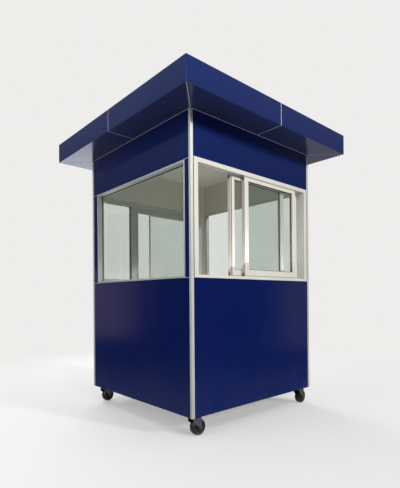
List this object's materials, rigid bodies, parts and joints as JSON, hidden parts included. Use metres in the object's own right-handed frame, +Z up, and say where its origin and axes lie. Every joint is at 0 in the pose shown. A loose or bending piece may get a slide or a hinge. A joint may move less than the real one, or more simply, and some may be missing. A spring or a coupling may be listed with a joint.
{
  "type": "security guard booth",
  "caption": "Square guard booth on swivel casters: panelled walls, boxed canopy all round, sliding front window, fixed side windows and a glazed rear door.",
  "frame": {"origin": "on the ground, under the middle of the booth's plan", "axes": "+X to the right seen from the front, +Y from the sliding window's wall towards the door's wall, +Z up"},
  "size_m": [2.012, 2.012, 2.61],
  "materials": {
    "navy_composite": "glossy navy coil coating on aluminium composite sheet",
    "post_aluminium": "satin anodised corner trim",
    "cream_aluminium": "satin off-white powder coat",
    "frame_aluminium": "satin anodised section",
    "lining_board": "matt light grey board",
    "ceiling_board": "matt pale grey board",
    "roof_sheet": "grey sealed sheet",
    "floor_board": "grey vinyl on cement board",
    "base_steel": "dark grey primer",
    "window_glass": "lightly tinted float glass",
    "hardware_steel": "brushed",
    "caster_zinc": "zinc plated pressed steel",
    "wheel_nylon": "black moulded nylon"
  },
  "bodies": {
    "booth": {"base_frame": "base_steel", "floor_panel": "floor_board", "corner_posts": "post_aluminium", "front_lower_panel": "navy_composite", "front_upper_panel": "navy_composite", "left_lower_panel": "navy_composite", "left_upper_panel": "navy_composite", "right_lower_panel": "navy_composite", "right_upper_panel": "navy_composite", "rear_lower_panel": "navy_composite", "rear_right_panel": "navy_composite", "rear_upper_panel": "navy_composite", "cladding_strips": "navy_composite", "wall_lining": "lining_board", "ceiling_panel": "ceiling_board", "front_window_frame": "cream_aluminium", "outer_sash": "cream_aluminium", "inner_sash": "cream_aluminium", "outer_sash_glass": "window_glass", "inner_sash_glass": "window_glass", "left_window_frame": "frame_aluminium", "left_window_glass": "window_glass", "right_window_frame": "frame_aluminium", "right_window_glass": "window_glass", "door_frame": "frame_aluminium", "sidelight_frame": "frame_aluminium", "sidelight_glass": "window_glass", "frame_hinges": "hardware_steel", "canopy_front": "navy_composite", "canopy_left": "navy_composite", "canopy_rear": "navy_composite", "canopy_right": "navy_composite", "roof_deck": "roof_sheet", "caster_plates": "caster_zinc"},
    "door": {"door_leaf": "frame_aluminium", "door_panel": "navy_composite", "door_glass": "window_glass", "door_handles": "hardware_steel", "leaf_hinges": "hardware_steel"},
    "swivel_front_left": {"caster_fork_front_left": "caster_zinc"},
    "wheel_front_left": {"caster_wheel_front_left": "wheel_nylon"},
    "swivel_front_right": {"caster_fork_front_right": "caster_zinc"},
    "wheel_front_right": {"caster_wheel_front_right": "wheel_nylon"},
    "swivel_rear_left": {"caster_fork_rear_left": "caster_zinc"},
    "wheel_rear_left": {"caster_wheel_rear_left": "wheel_nylon"},
    "swivel_rear_right": {"caster_fork_rear_right": "caster_zinc"},
    "wheel_rear_right": {"caster_wheel_rear_right": "wheel_nylon"}
  },
  "joints": [
    {"name": "door_swing", "type": "hinge", "parent": "booth", "child": "door", "pos_m": [0.4925, 0.77, 1.226], "axis": [0, 0, -1], "range_deg": [0, 100]},
    {"name": "swivel_turn_front_left", "type": "hinge", "parent": "booth", "child": "swivel_front_left", "pos_m": [-0.682, -0.682, 0.145], "axis": [0, 0, 1], "continuous": true},
    {"name": "wheel_spin_front_left", "type": "hinge", "parent": "swivel_front_left", "child": "wheel_front_left", "pos_m": [-0.642, -0.682, 0.0625], "axis": [0, 1, 0], "continuous": true},
    {"name": "swivel_turn_front_right", "type": "hinge", "parent": "booth", "child": "swivel_front_right", "pos_m": [0.682, -0.682, 0.145], "axis": [0, 0, 1], "continuous": true},
    {"name": "wheel_spin_front_right", "type": "hinge", "parent": "swivel_front_right", "child": "wheel_front_right", "pos_m": [0.72185, -0.67851, 0.0625], "axis": [-0.0872, 0.9962, 0], "continuous": true},
    {"name": "swivel_turn_rear_left", "type": "hinge", "parent": "booth", "child": "swivel_rear_left", "pos_m": [-0.682, 0.682, 0.145], "axis": [0, 0, 1], "continuous": true},
    {"name": "wheel_spin_rear_left", "type": "hinge", "parent": "swivel_rear_left", "child": "wheel_rear_left", "pos_m": [-0.64355, 0.69303, 0.0625], "axis": [-0.2756, 0.9613, 0], "continuous": true},
    {"name": "swivel_turn_rear_right", "type": "hinge", "parent": "booth", "child": "swivel_rear_right", "pos_m": [0.682, 0.682, 0.145], "axis": [0, 0, 1], "continuous": true},
    {"name": "wheel_spin_rear_right", "type": "hinge", "parent": "swivel_rear_right", "child": "wheel_rear_right", "pos_m": [0.72139, 0.68895, 0.0625], "axis": [-0.1736, 0.9848, 0], "continuous": true}
  ]
}
